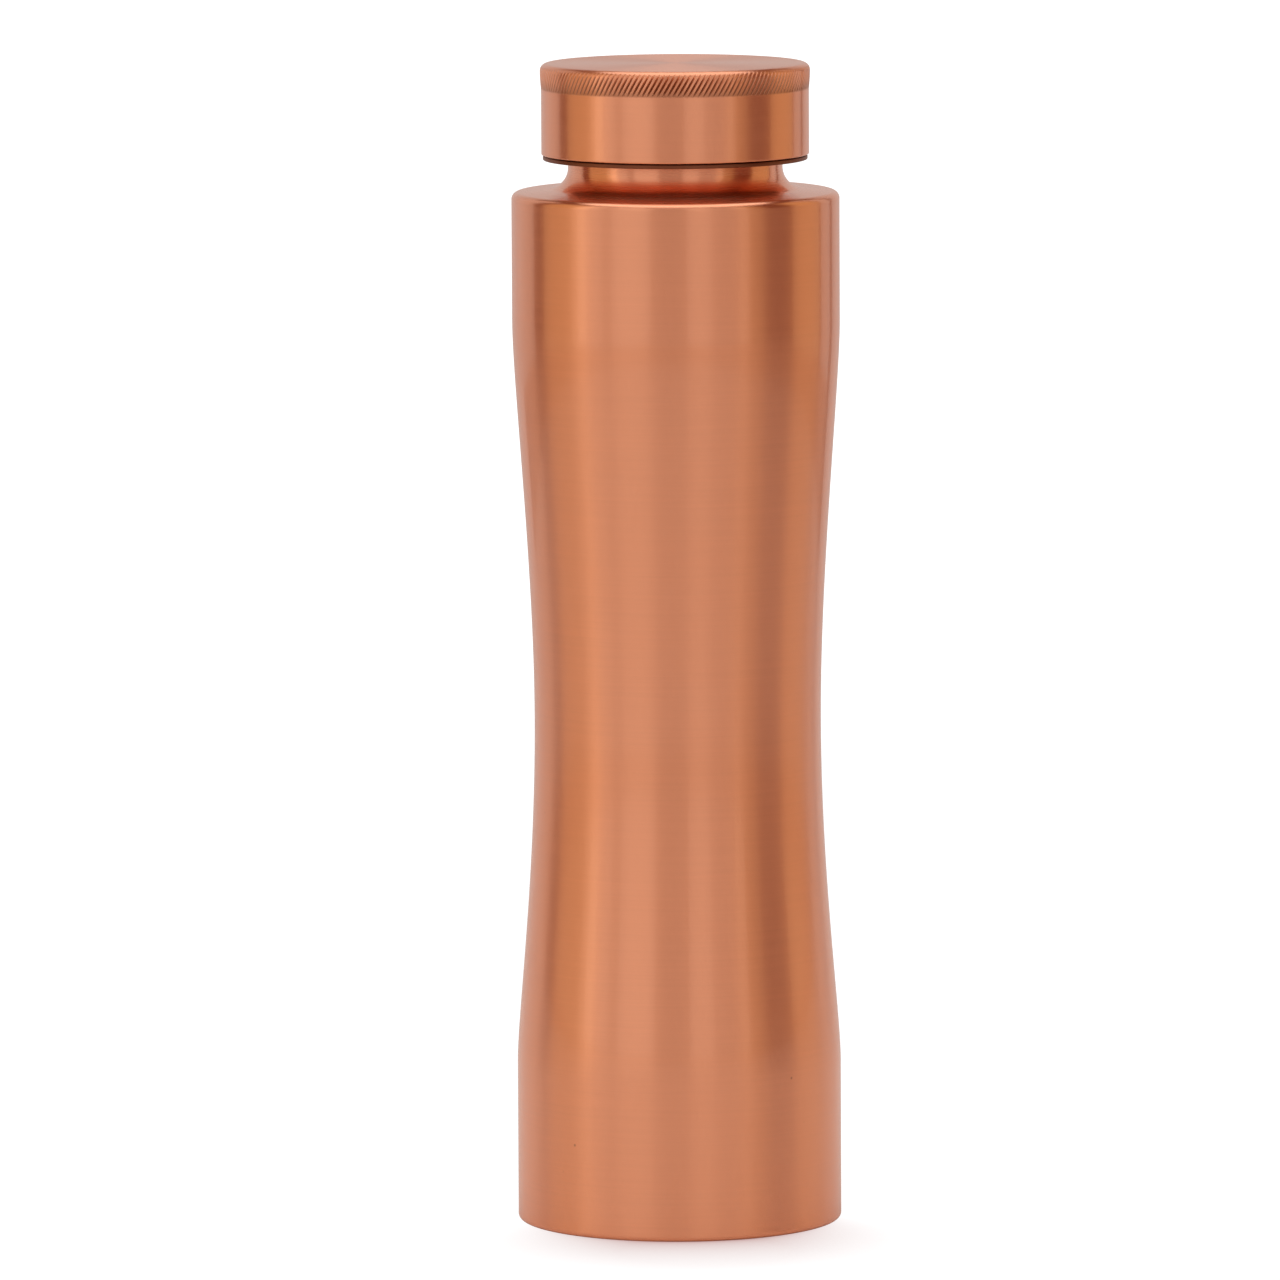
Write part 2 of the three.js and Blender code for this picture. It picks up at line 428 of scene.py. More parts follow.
def distance_from_axis(tree):
    """The distance from the bottle's axis, and the height, at each point of a surface."""
    place = tree.nodes.new("ShaderNodeTexCoord").outputs["Object"]
    split = tree.nodes.new("ShaderNodeSeparateXYZ")
    tree.links.new(place, split.inputs[0])
    x, y, z = split.outputs
    squares = math_node(tree, "ADD", math_node(tree, "MULTIPLY", x, x), math_node(tree, "MULTIPLY", y, y))
    return math_node(tree, "SQRT", squares), z


def round_the_axis(tree, along, across):
    """Object coordinates stretched round the axis: slow along a brush line, fast across it.

    Across is height less radius, so lines run round the axis on walls, shoulders and flat ends.
    """
    place = tree.nodes.new("ShaderNodeTexCoord").outputs["Object"]
    split = tree.nodes.new("ShaderNodeSeparateXYZ")
    tree.links.new(place, split.inputs[0])
    x, y = split.outputs[0], split.outputs[1]
    radius, height = distance_from_axis(tree)
    travel = math_node(tree, "SUBTRACT", height, radius)
    join = tree.nodes.new("ShaderNodeCombineXYZ")
    tree.links.new(math_node(tree, "MULTIPLY", x, along), join.inputs[0])
    tree.links.new(math_node(tree, "MULTIPLY", y, along), join.inputs[1])
    tree.links.new(math_node(tree, "MULTIPLY", travel, across), join.inputs[2])
    return join.outputs[0]


def brushing_group(name):
    """Brush lines round the axis: fine lines, wider strokes and the spinning tool's ripple."""
    tree, given, result = new_group(
        name, [("Fine", 1.0), ("Strokes", 1.0), ("Ripple", 1.0)], ["Height", "Streaks"])
    fine = noise(tree, round_the_axis(tree, 60, 5200), 1, 3, 0.6)
    strokes = noise(tree, round_the_axis(tree, 25, 1300), 1, 2, 0.5)
    ripple = noise(tree, round_the_axis(tree, 4, 190), 1, 1, 0.4)
    layers = [
        math_node(tree, "MULTIPLY", layer, given.outputs[label])
        for layer, label in ((fine, "Fine"), (strokes, "Strokes"), (ripple, "Ripple"))
    ]
    height = math_node(tree, "ADD", math_node(tree, "ADD", layers[0], layers[1]), layers[2])
    tree.links.new(height, result.inputs["Height"])
    streaks = math_node(tree, "MULTIPLY", math_node(tree, "ADD", fine, strokes), 0.5)
    tree.links.new(streaks, result.inputs["Streaks"])
    return tree


def handling_group(name):
    """Marks of use: broad cloudy patches, and small pits that show as dark specks."""
    tree, given, result = new_group(name, [("Pits", 0.5)], ["Clouds", "Specks"])
    place = tree.nodes.new("ShaderNodeTexCoord").outputs["Object"]
    clouds = remap(tree, noise(tree, place, 22, 4, 0.55), 0.35, 0.68, 0, 1)
    tree.links.new(clouds, result.inputs["Clouds"])
    cells = tree.nodes.new("ShaderNodeTexVoronoi")
    cells.inputs["Scale"].default_value = 260
    tree.links.new(place, cells.inputs["Vector"])
    near = remap(tree, cells.outputs["Distance"], 0.05, 0.11, 1, 0)
    rare = remap(tree, noise(tree, place, 60, 1, 0.5), 0.70, 0.74, 0, 1)
    specks = math_node(tree, "MULTIPLY", math_node(tree, "MULTIPLY", near, rare), given.outputs["Pits"])
    tree.links.new(specks, result.inputs["Specks"])
    return tree


def knurl_groove_shade_group(name):
    """Painted shade deep in the knurled band's grooves: a mask of their bottoms, where the copper is
    darkened and the lacquer left off.
    """
    tree, given, result = new_group(name, [("Amount", 1.0)], ["Grime"])
    radius, height = distance_from_axis(tree)
    band = remap(tree, height, KNURL_LOW - 0.1 * MM, KNURL_LOW + 0.3 * MM, 0, 1)
    depth = remap(tree, radius, CAP_HIGH.x - 0.34 * MM, CAP_HIGH.x - 0.06 * MM, 1, 0)
    rim = remap(tree, height, CAP_HIGH.z - CAP_RIM, CAP_HIGH.z - CAP_RIM + 0.3 * MM, 1, 0)
    in_groove = math_node(tree, "MULTIPLY", math_node(tree, "MULTIPLY", band, depth), rim)
    tree.links.new(math_node(tree, "MULTIPLY", in_groove, given.outputs["Amount"]), result.inputs["Grime"])
    return tree


def copper_finish(name, colour, roughness, grain, lacquer, pits, groove_shade=0, polish_above=None):
    """Copper brushed round the axis.

    grain is the brush lines' height in metres, and polish_above a height over which it is smoother.
    """
    material = bpy.data.materials.new(name)
    material.use_nodes = True
    tree = material.node_tree
    shader = tree.nodes["Principled BSDF"]
    brushing = place_group(tree, "Brushed Round Axis", brushing_group)
    handling = place_group(tree, "Handled Metal", handling_group, Pits=pits)
    share = remap(tree, brushing.outputs["Streaks"], 0.35, 0.65, 0, 1)
    streaked = mix_colour(tree, share, darker(colour, 0.96), colour)
    faded = (colour[0] * 0.98, colour[1] * 0.93, colour[2] * 0.88)
    cloudy = math_node(tree, "MULTIPLY", handling.outputs["Clouds"], 0.35)
    clouded = mix_colour(tree, cloudy, streaked, faded)
    marked = mix_colour(tree, handling.outputs["Specks"], clouded, darker(colour, 0.25))
    # Painted shade: the bottoms of the knurl's grooves are darkened to a quarter of the copper and lose
    # the lacquer.
    if groove_shade:
        grooves = place_group(tree, "Knurl Grime", knurl_groove_shade_group, Amount=groove_shade)
        marked = mix_colour(tree, grooves.outputs["Grime"], marked, darker(colour, 0.25))
        clean = remap(tree, grooves.outputs["Grime"], 0, 1, lacquer, 0)
        tree.links.new(clean, shader.inputs["Coat Weight"])
    tree.links.new(marked, shader.inputs["Base Color"])
    smoothest = roughness - ROUGHNESS_SPREAD
    roughest = roughness + ROUGHNESS_SPREAD
    rough = remap(tree, brushing.outputs["Streaks"], 0.3, 0.7, smoothest, roughest)
    if polish_above:
        height = distance_from_axis(tree)[1]
        polish = remap(tree, height, polish_above, polish_above + 1 * MM, 1, NECK_POLISH)
        rough = math_node(tree, "MULTIPLY", rough, polish)
    tree.links.new(rough, shader.inputs["Roughness"])
    shader.inputs["Metallic"].default_value = 1
    shader.inputs["Anisotropic"].default_value = 0.8
    shader.inputs["Anisotropic Rotation"].default_value = 0.25
    shader.inputs["Coat Weight"].default_value = lacquer
    shader.inputs["Coat Roughness"].default_value = 0.08
    around = tree.nodes.new("ShaderNodeTangent")
    around.direction_type = "RADIAL"
    around.axis = "Z"
    tree.links.new(around.outputs[0], shader.inputs["Tangent"])
    bump(tree, brushing.outputs["Height"], grain, shader)
    return material


def copper_outside():
    name = "Brushed Copper"
    colour = bpy.context.scene.bottle_colours.copper
    return bpy.data.materials.get(name) or copper_finish(
        name, colour, roughness=0.34, grain=0.002 * MM, lacquer=0.6, pits=0.5, polish_above=TOP_END)


def copper_cap():
    name = "Brushed Cap Copper"
    colour = bpy.context.scene.bottle_colours.copper
    # The cap's knurl gets painted shade in its grooves.
    return bpy.data.materials.get(name) or copper_finish(
        name, colour, roughness=0.34, grain=0.002 * MM, lacquer=0.6, pits=0.6, groove_shade=0.8)


# Painted shade: copper darkened to four tenths of the inside copper, for the sleeve's flange that lies in
# shade under the cap's skirt.
def copper_painted_shade():
    name = "Shade Painted Copper"
    colour = darker(bpy.context.scene.bottle_colours.inside_copper, 0.4)
    return bpy.data.materials.get(name) or copper_finish(
        name, colour, roughness=0.5, grain=0.003 * MM, lacquer=0, pits=1)


def copper_turned():
    name = "Turned Copper"
    colour = bpy.context.scene.bottle_colours.turned_copper
    return bpy.data.materials.get(name) or copper_finish(
        name, colour, roughness=0.28, grain=0.003 * MM, lacquer=0, pits=0.3)


def copper_inside():
    name = "Inside Copper"
    colour = bpy.context.scene.bottle_colours.inside_copper
    return bpy.data.materials.get(name) or copper_finish(
        name, colour, roughness=0.42, grain=0.003 * MM, lacquer=0, pits=1)


def white_silicone():
    material = bpy.data.materials.new("White Silicone")
    material.use_nodes = True
    tree = material.node_tree
    shader = tree.nodes["Principled BSDF"]
    colour = bpy.context.scene.bottle_colours.silicone
    place = tree.nodes.new("ShaderNodeTexCoord").outputs["Object"]
    clouds = noise(tree, place, 90, 3, 0.5)
    tree.links.new(mix_colour(tree, clouds, darker(colour, 0.94), colour), shader.inputs["Base Color"])
    tree.links.new(remap(tree, clouds, 0.3, 0.7, 0.42, 0.55), shader.inputs["Roughness"])
    bump(tree, noise(tree, place, 2500, 2, 0.5), 0.01 * MM, shader)
    return material


# ---- the bottle ----


def shell_outline(sizes, ridge):
    """The shell's outside, from the lip's inner edge up to the top of the neck.

    ridge is the height of the rings that the spinning tool leaves on the shoulder.
    """
    slope = math.degrees(SHOULDER_SLOPE)
    corner = arc(sizes.top_radius - SHOULDER_CORNER, TOP_END, SHOULDER_CORNER, 0, 90 - slope, 10)
    fillet_radius = sizes.neck_radius + NECK_FILLET
    cone_end = fillet_radius - NECK_FILLET * math.sin(SHOULDER_SLOPE)
    rise = (corner[-1][0] - cone_end) * math.tan(SHOULDER_SLOPE)
    fillet_height = corner[-1][1] + rise + NECK_FILLET * math.cos(SHOULDER_SLOPE)
    ridged = []
    for radius, height in straight(corner[-1], (cone_end, corner[-1][1] + rise), RIDGE_PITCH / 8):
        turn = math.tau * (corner[-1][0] - radius) / RIDGE_PITCH
        ridged.append((radius, height - ridge * 0.5 * (1 - math.cos(turn))))
    foot = (sizes.foot_radius, FOOT_TOP)
    waist = (sizes.waist_radius, sizes.waist_height)
    top = (sizes.top_radius, TOP_START)
    lip = arc(sizes.foot_radius - FOOT_CORNER, FOOT_CORNER, FOOT_CORNER, -90, 0, 8)
    return without_repeats([
        *straight((LIP_INNER_RADIUS, 0), lip[0]),
        *lip,
        *straight(lip[-1], foot),
        *swell(foot, waist, *SWELL_BELOW, 30),
        *swell(waist, top, *SWELL_ABOVE, 30),
        *straight(top, corner[0]),
        *corner,
        *ridged,
        *arc(fillet_radius, fillet_height, NECK_FILLET, 270 - slope, 180, 16),
        (sizes.neck_radius, SHELL_HIGH.z - EDGE),
    ])


class BOTTLE_OT_body_shell(bpy.types.Operator):
    """Model the spun wall, from the lip under the foot to the top of the neck"""

    bl_idname = "bottle.body_shell"
    bl_label = "Body Shell"

    def execute(self, context):
        sizes = context.scene.bottle_sizes
        top = SHELL_HIGH.z - EDGE
        outside = shell_outline(sizes, RIDGE_HEIGHT)
        inside = offset(shell_outline(sizes, 0), sizes.wall)
        outline = [
            *outside,
            *arc(sizes.neck_radius - EDGE, top, EDGE, 0, 90, 3),
            *arc(sizes.neck_radius - sizes.wall + EDGE, top, EDGE, 90, 180, 3),
            *reversed(inside),
            outside[0],
        ]
        shell = turned("bottle_shell", outline, sizes.sides)
        finish_piece(shell, "body_shell", "bottle", "body_copper", copper_outside(), copper_inside())

        def faces_in(centre, normal):
            inward = normal.x * centre.x + normal.y * centre.y < 0
            above_lip = centre.z > sizes.wall / 2
            under_shoulder = centre.z > TOP_END and normal.z < -0.5
            lip_top = centre.z < FOOT_CORNER and normal.z > 0.5
            return inward and above_lip and normal.z < 0.9 or under_shoulder or lip_top

        paint_faces(shell, 1, faces_in)
        return {"FINISHED"}


class BOTTLE_OT_base_pan(bpy.types.Operator):
    """Model the pressed base inside the foot"""

    bl_idname = "bottle.base_pan"
    bl_label = "Base Pan"

    def execute(self, context):
        sizes = context.scene.bottle_sizes
        rim = PAN_HIGH.x
        seat = PAN_LOW.z
        steps = 12
        dome = []
        step = []
        for i in range(steps + 1):
            part = i / steps
            dome.append((PAN_STEP_INNER * part, PAN_CENTRE - (PAN_CENTRE - PAN_RECESS) * part ** 2))
            share = part * part * (3 - 2 * part)
            step.append((PAN_STEP_INNER + (PAN_STEP_OUTER - PAN_STEP_INNER) * part,
                         PAN_RECESS + (seat - PAN_RECESS) * share))
        corner = arc(rim - PAN_CORNER, seat + PAN_CORNER, PAN_CORNER, -90, 0, 6)
        under = without_repeats([
            *dome,
            *step,
            *straight(step[-1], corner[0]),
            *corner,
            *straight(corner[-1], (rim, PAN_HIGH.z)),
        ])
        upper = offset(under, sizes.wall)
        upper[0] = (0, upper[0][1])
        pan = turned("base_dish", [*under, *reversed(upper)], sizes.sides)
        finish_piece(pan, "base_pan", "bottle", "base_copper", copper_inside())
        return {"FINISHED"}


def add_thread(ring, radius, start, side):
    """Joins a right-hand thread to a ring. side is 1 for an outside thread, -1 for an inside one."""
    root = radius - side * THREAD_ROOT
    crest = radius + side * THREAD_HEIGHT
    sunk = radius - side * THREAD_SUNK
    thread = single_vertex("thread")
    trace([
        (root, start - THREAD_BASE / 2),
        (radius, start - THREAD_BASE / 2),
        (crest, start - THREAD_CREST / 2),
        (crest, start + THREAD_CREST / 2),
        (radius, start + THREAD_BASE / 2),
        (root, start + THREAD_BASE / 2),
        (root, start - THREAD_BASE / 2),
    ])
    bpy.ops.mesh.select_all(action="SELECT")
    bpy.ops.mesh.remove_doubles(threshold=WELD)
    make_active(thread)
    screw = thread.modifiers.new("Thread", "SCREW")
    screw.axis = "Z"
    screw.angle = math.tau
    screw.screw_offset = THREAD_LEAD
    screw.iterations = THREAD_TURNS
    screw.steps = THREAD_STEPS
    screw.render_steps = THREAD_STEPS
    bpy.ops.object.modifier_apply(modifier=screw.name)
    bpy.ops.object.mode_set(mode="EDIT")
    total = THREAD_STEPS * THREAD_TURNS
    for i in range(THREAD_RUN_OUT):
        share = 0.5 - 0.5 * math.cos(math.pi * i / THREAD_RUN_OUT)
        for step in (i, total - i):
            angle = math.tau * step / THREAD_STEPS
            level = start + THREAD_LEAD * step / THREAD_STEPS
            for reach in (crest, radius):

                def on_section(place):
                    turn = math.remainder(math.atan2(place.y, place.x) - angle, math.tau)
                    across = math.hypot(place.x, place.y) - reach
                    return (abs(turn) < math.pi / THREAD_STEPS and abs(across) < WELD
                            and abs(place.z - level) < THREAD_LEAD / 2)

                select_points(thread, on_section)
                size = (sunk + (reach - sunk) * share) / reach
                bpy.ops.transform.resize(value=(size, size, 1), center_override=(0, 0, 0))
    bpy.ops.mesh.select_all(action="SELECT")
    bpy.ops.mesh.fill_holes(sides=0)
    weld()
    union = ring.modifiers.new("Thread", "BOOLEAN")
    union.operation = "UNION"
    union.solver = "EXACT"
    union.object = thread
    make_active(ring)
    bpy.ops.object.modifier_apply(modifier=union.name)
    bpy.data.objects.remove(thread)
    bpy.ops.object.mode_set(mode="EDIT")
    bpy.ops.mesh.select_all(action="SELECT")
    bpy.ops.mesh.dissolve_degenerate(threshold=WELD)
    bpy.ops.object.mode_set(mode="OBJECT")
    bpy.ops.object.shade_smooth_by_angle(angle=SMOOTH_ANGLE)


class BOTTLE_OT_mouth_ring(bpy.types.Operator):
    """Model the threaded mouth, with its spigot inside the neck"""

    bl_idname = "bottle.mouth_ring"
    bl_label = "Mouth Ring"

    def execute(self, context):
        sizes = context.scene.bottle_sizes
        spigot = sizes.neck_radius - sizes.wall - GAP
        shoulder = SHELL_HIGH.z + GAP
        lip = MOUTH_HIGH.z - MOUTH_LIP
        inner = MOUTH_INNER_RADIUS
        outer = MOUTH_ROOT_RADIUS
        ring = turned("mouth_collar", [
            *straight((inner, MOUTH_LOW.z), (spigot, MOUTH_LOW.z)),
            *straight((spigot, MOUTH_LOW.z), (spigot, shoulder)),
            *straight((spigot, shoulder), (outer - EDGE, shoulder)),
            *arc(outer - EDGE, shoulder + EDGE, EDGE, -90, 0, 3),
            *straight((outer, shoulder + EDGE), (outer, lip)),
            *arc(outer - MOUTH_LIP, lip, MOUTH_LIP, 0, 90, 8),
            *arc(inner + MOUTH_LIP, lip, MOUTH_LIP, 90, 180, 8),
            *straight((inner, lip), (inner, MOUTH_LOW.z)),
        ], THREAD_SIDES)
        add_thread(ring, outer, MOUTH_THREAD_START, 1)
        finish_piece(ring, "mouth_ring", "bottle", "thread_copper", copper_turned())
        return {"FINISHED"}


# ---- the cap ----


def knurl_rows(skirt, crest):
    """The knurled band's rows from its bottom up: radius, height, and how far a groove is open."""
    wall_rows = 8
    rim_rows = 3
    rim_start = CAP_HIGH.z - CAP_RIM
    rows = []
    for i in range(wall_rows + 1):
        share = i / wall_rows
        bulge = math.sin(math.pi / 2 * share)
        rows.append((skirt + (crest - skirt) * bulge, KNURL_LOW + (rim_start - KNURL_LOW) * share))
    rows += arc(crest - CAP_RIM, rim_start, CAP_RIM, 0, KNURL_RIM_ANGLE, rim_rows)[1:]
    travel = [0]
    for before, after in zip(rows, rows[1:]):
        travel.append(travel[-1] + math.dist(before, after))
    opened = []
    for (radius, height), place in zip(rows, travel):
        opening = max(0, math.sin(math.pi * place / travel[-1])) ** 0.6
        opened.append((radius, height, opening))
    return opened


def knurl_tooth(name, teeth, skirt, crest):
    """One groove between two half ridges, in edit mode: a flat grid, then leant and cut."""
    tooth = single_vertex(name)
    pitch = math.tau / teeth
    rows = knurl_rows(skirt, crest)
    spots = (0, 0.22, 0.36, 0.5, 0.64, 0.78, 1)
    cuts = (0, 0, 0.75, 1, 0.75, 0, 0)
    width = pitch * skirt / (len(spots) - 1)
    lean = math.tan(KNURL_LEAN) / crest
    base = rows[0][1]
    bpy.ops.transform.translate(value=(skirt, 0, base))
    for _ in spots[1:]:
        bpy.ops.mesh.extrude_region_move(TRANSFORM_OT_translate={"value": (0, width, 0)})
    bpy.ops.mesh.select_all(action="SELECT")
    for before, after in zip(rows, rows[1:]):
        rise = (0, 0, after[1] - before[1])
        bpy.ops.mesh.extrude_region_move(TRANSFORM_OT_translate={"value": rise})
    for radius, height, opening in rows:
        for column, (spot, cut) in enumerate(zip(spots, cuts)):
            narrow = 0.35 + 0.65 * opening if 0 < spot < 1 else 1
            angle = pitch * (0.5 + (spot - 0.5) * narrow) + lean * (height - base)
            reach = radius - GROOVE_DEPTH * opening * cut
            start = Vector((skirt, width * column, height))
            end = Vector((reach * math.cos(angle), reach * math.sin(angle), height))
            select_points(tooth, lambda place: (place - start).length < WELD)
            bpy.ops.transform.translate(value=end - start)
    return tooth


class BOTTLE_OT_cap_shell(bpy.types.Operator):
    """Model the cap's cup, with its knurled band, rounded rim and open skirt"""

    bl_idname = "bottle.cap_shell"
    bl_label = "Cap Shell"

    def execute(self, context):
        sizes = context.scene.bottle_sizes
        skirt = sizes.cap_radius
        crest = CAP_HIGH.x
        teeth = sizes.knurl_teeth
        cup = knurl_tooth("cap_cup", teeth, skirt, crest)
        bpy.ops.mesh.select_all(action="SELECT")
        bpy.ops.mesh.spin(
            steps=teeth - 1, angle=math.tau * (teeth - 1) / teeth, dupli=True,
            center=(0, 0, 0), axis=(0, 0, 1))
        bpy.ops.mesh.select_all(action="SELECT")
        bpy.ops.mesh.remove_doubles(threshold=WELD)

        rows = knurl_rows(skirt, crest)
        top = CAP_HIGH.z
        rim = arc(crest - CAP_RIM, top - CAP_RIM, CAP_RIM, KNURL_RIM_ANGLE, 90, 5)
        line = 0.3 * MM
        select_points(cup, lambda place: place.z > rows[-1][1] - WELD)
        grow_ring(without_repeats([
            *rim,
            *straight(rim[-1], (CAP_RING_LINE + line, top)),
            (CAP_RING_LINE, top - 0.04 * MM),
            *straight((CAP_RING_LINE - line, top), (1 * MM, top), 9 * MM),
        ]))
        bpy.ops.mesh.merge(type="CENTER")

        low = CAP_LOW.z
        inner = skirt - CAP_WALL
        ceiling = top - CAP_WALL
        select_points(cup, lambda place: place.z < rows[0][1] + WELD)
        grow_ring(without_repeats([
            *straight((skirt, KNURL_LOW), (skirt, low + CAP_EDGE)),
            *arc(skirt - CAP_EDGE, low + CAP_EDGE, CAP_EDGE, 0, -90, 4),
            *straight((skirt - CAP_EDGE, low), (inner + EDGE, low)),
            *arc(inner + EDGE, low + EDGE, EDGE, -90, -180, 3),
            *straight((inner, low + EDGE), (inner, ceiling - CAP_INNER_CORNER), 9 * MM),
            *arc(inner - CAP_INNER_CORNER, ceiling - CAP_INNER_CORNER, CAP_INNER_CORNER, 0, 90, 4),
            *straight((inner - CAP_INNER_CORNER, ceiling), (1 * MM, ceiling), 14 * MM),
        ]))
        bpy.ops.mesh.merge(type="CENTER")
        weld()
        bpy.ops.object.shade_smooth_by_angle(angle=SMOOTH_ANGLE)
        finish_piece(cup, "cap_shell", "cap", "cap_copper", copper_cap(), copper_inside())

        def is_inside(centre, normal):
            return math.hypot(centre.x, centre.y) < inner + EDGE and centre.z < ceiling + EDGE

        paint_faces(cup, 1, is_inside)
        return {"FINISHED"}


class BOTTLE_OT_cap_sleeve(bpy.types.Operator):
    """Model the cap's threaded sleeve, with the flange that closes its lower edge"""

    bl_idname = "bottle.cap_sleeve"
    bl_label = "Cap Sleeve"

    def execute(self, context):
        bore = SLEEVE_BORE
        outer = bore + SLEEVE_WALL
        low = SLEEVE_LOW.z
        high = SLEEVE_HIGH.z
        reach = SLEEVE_HIGH.x
        flange = low + SLEEVE_FLANGE
        sleeve = turned("cap_thread", [
            *arc(bore + EDGE, low + EDGE, EDGE, 180, 270, 3),
            *straight((bore + EDGE, low), (reach - EDGE, low)),
            *arc(reach - EDGE, low + EDGE, EDGE, -90, 0, 3),
            *arc(reach - EDGE, flange - EDGE, EDGE, 0, 90, 3),
            *straight((reach - EDGE, flange), (outer, flange)),
            *straight((outer, flange), (outer, high - EDGE)),
            *arc(outer - EDGE, high - EDGE, EDGE, 0, 90, 3),
            *arc(bore + EDGE, high - EDGE, EDGE, 90, 180, 3),
            *straight((bore, high - EDGE), (bore, low + EDGE)),
        ], THREAD_SIDES)
        add_thread(sleeve, bore, SLEEVE_THREAD_START, -1)
        finish_piece(sleeve, "cap_sleeve", "cap", "thread_copper", copper_turned(), copper_painted_shade())

        # The flange's faces get the darkened copper as painted shade.
        def on_flange(centre, normal):
            beyond = math.hypot(centre.x, centre.y) > outer
            return beyond and centre.z < flange + EDGE and normal.z > -0.9

        paint_faces(sleeve, 1, on_flange)
        return {"FINISHED"}


class BOTTLE_OT_cap_disc(bpy.types.Operator):
    """Model the disc between the cap's top and its sleeve"""

    bl_idname = "bottle.cap_disc"
    bl_label = "Cap Disc"

    def execute(self, context):
        low = DISC_LOW.z
        high = DISC_HIGH.z
        reach = DISC_HIGH.x
        disc = turned("cap_plate", [
            (0, low),
            *straight((1 * MM, low), (reach - EDGE, low)),
            *arc(reach - EDGE, low + EDGE, EDGE, -90, 0, 3),
            *arc(reach - DISC_CHAMFER, high - DISC_CHAMFER, DISC_CHAMFER, 0, 90, 4),
            *straight((reach - DISC_CHAMFER, high), (1 * MM, high)),
            (0, high),
        ], THREAD_SIDES)
        finish_piece(disc, "cap_disc", "cap", "disc_copper", copper_inside())
        return {"FINISHED"}


class BOTTLE_OT_sealing_washer(bpy.types.Operator):
    """Model the silicone washer that seals the mouth"""

    bl_idname = "bottle.sealing_washer"
    bl_label = "Sealing Washer"

    def execute(self, context):
        size = WASHER_ROUNDING
        outer = WASHER_HIGH.x
        low = WASHER_LOW.z
        high = WASHER_HIGH.z
        inner = WASHER_INNER_RADIUS
        outline = [
            *arc(inner + size, low + size, size, 180, 270, 4),
            *arc(outer - size, low + size, size, -90, 0, 4),
            *arc(outer - size, high - size, size, 0, 90, 4),
            *arc(inner + size, high - size, size, 90, 180, 4),
            (inner, low + size),
        ]
        washer = turned("seal_ring", outline, THREAD_SIDES)
        finish_piece(washer, "sealing_washer", "washer", "silicone", white_silicone())
        return {"FINISHED"}


# ---- the stage ----

TABLE_RADIUS = 1.07
CAMERA_DISTANCE = 2.878
CAMERA_HEIGHT = 0.471
CAMERA_LENS = 350.5
AIM = Vector((-0.0087, 0, 0.13565))
CAMERA_ROLL = math.radians(0.28)


class Softbox:
    """An upright soft light that faces the bottle.

    azimuth is its middle in degrees from the camera's side, with positive to the right; spread is
    how wide it looks from the bottle, in degrees; brightness is the radiance of its face.
    """

    distance = 1.4
    height = 1.6

    def __init__(self, name, azimuth, spread, brightness, colour, bottom=0):
        self.name = name
        self.azimuth = math.radians(azimuth)
        self.spread = math.radians(spread)
        self.brightness = brightness
        self.colour = colour
        self.bottom = bottom

    def place(self):
        x = math.sin(self.azimuth) * self.distance
        y = -math.cos(self.azimuth) * self.distance
        width = 2 * self.distance * math.tan(self.spread / 2)
        facing = Vector((x, y, 0)).to_track_quat("Z", "Y").to_euler()
        make_active(None)
        middle = (x, y, self.bottom + self.height / 2)
        bpy.ops.object.light_add(type="AREA", location=middle, rotation=facing)
        light = bpy.context.active_object
        light.name = self.name
        light.visible_camera = False
        light.data.shape = "RECTANGLE"
        light.data.size = width
        light.data.size_y = self.height
        light.data.energy = 4 * width * self.height * self.brightness
        light.data.color = self.colour


# A large box on each side of the front, strips that soften their edges, and boxes behind that
# light the edges of the bottle. The gaps between them show as the dark lines in the copper.
PLAIN = (1, 1, 0.95)
WARM = (1, 0.82, 0.45)
DIM_ROOM = (0.18, 0.05, 0.03, 1)
WHITE_SEEN = (1.2, 1.2, 1.2, 1)
SOFTBOXES = (
    Softbox("left_back_box", -130, 25, 0.40, PLAIN),
    Softbox("left_side_box", -85, 40, 0.40, WARM),
    Softbox("left_turn_box", -65, 25, 0.20, PLAIN),
    Softbox("left_key_box", -45, 55, 0.35, PLAIN),
    Softbox("left_front_box", -30, 30, 0.25, PLAIN),
    Softbox("middle_box", -5, 20, 0.30, PLAIN),
    Softbox("right_front_box", 15, 20, 0.20, PLAIN),
    Softbox("right_key_box", 30, 45, 0.35, PLAIN),
    Softbox("right_edge_box", 55, 20, 0.25, WARM),
    Softbox("warm_box", 105, 30, 0.40, WARM),
    Softbox("right_back_box", 130, 15, 0.40, PLAIN),
    Softbox("back_box", 180, 75, 0.35, PLAIN, bottom=-0.35),
)
TOP_BOX_HEIGHT = 1.8
TOP_BOX_RADIUS = 1.1
TOP_BOX_BRIGHTNESS = 1.1
# The painted shadow on the table: SHADOW_SEEN mixed into the white by ambient occlusion within this
# length, strongest round a fixed spot before the foot and faint elsewhere.
SHADOW_LENGTH = 0.07
SHADOW_CENTRE = (0.006, -0.05, 0)
SHADOW_FULL_WITHIN = 0.02
SHADOW_FADED_BEYOND = 0.06
SHADOW_ELSEWHERE = 0.1
TABLE_SEEN = (1.1, 1.1, 1.1)
SHADOW_SEEN = (0.62, 0.42, 0.40)


def camera_share(tree, seen, otherwise, mixer):
    """Joins two shaders: one that only the camera sees, and one for all other light."""
    rays = tree.nodes.new("ShaderNodeLightPath")
    mix = tree.nodes.new("ShaderNodeMixShader")
    tree.links.new(rays.outputs["Is Camera Ray"], mix.inputs[0])
    tree.links.new(otherwise, mix.inputs[1])
    tree.links.new(seen, mix.inputs[2])
    tree.links.new(mix.outputs[0], mixer)


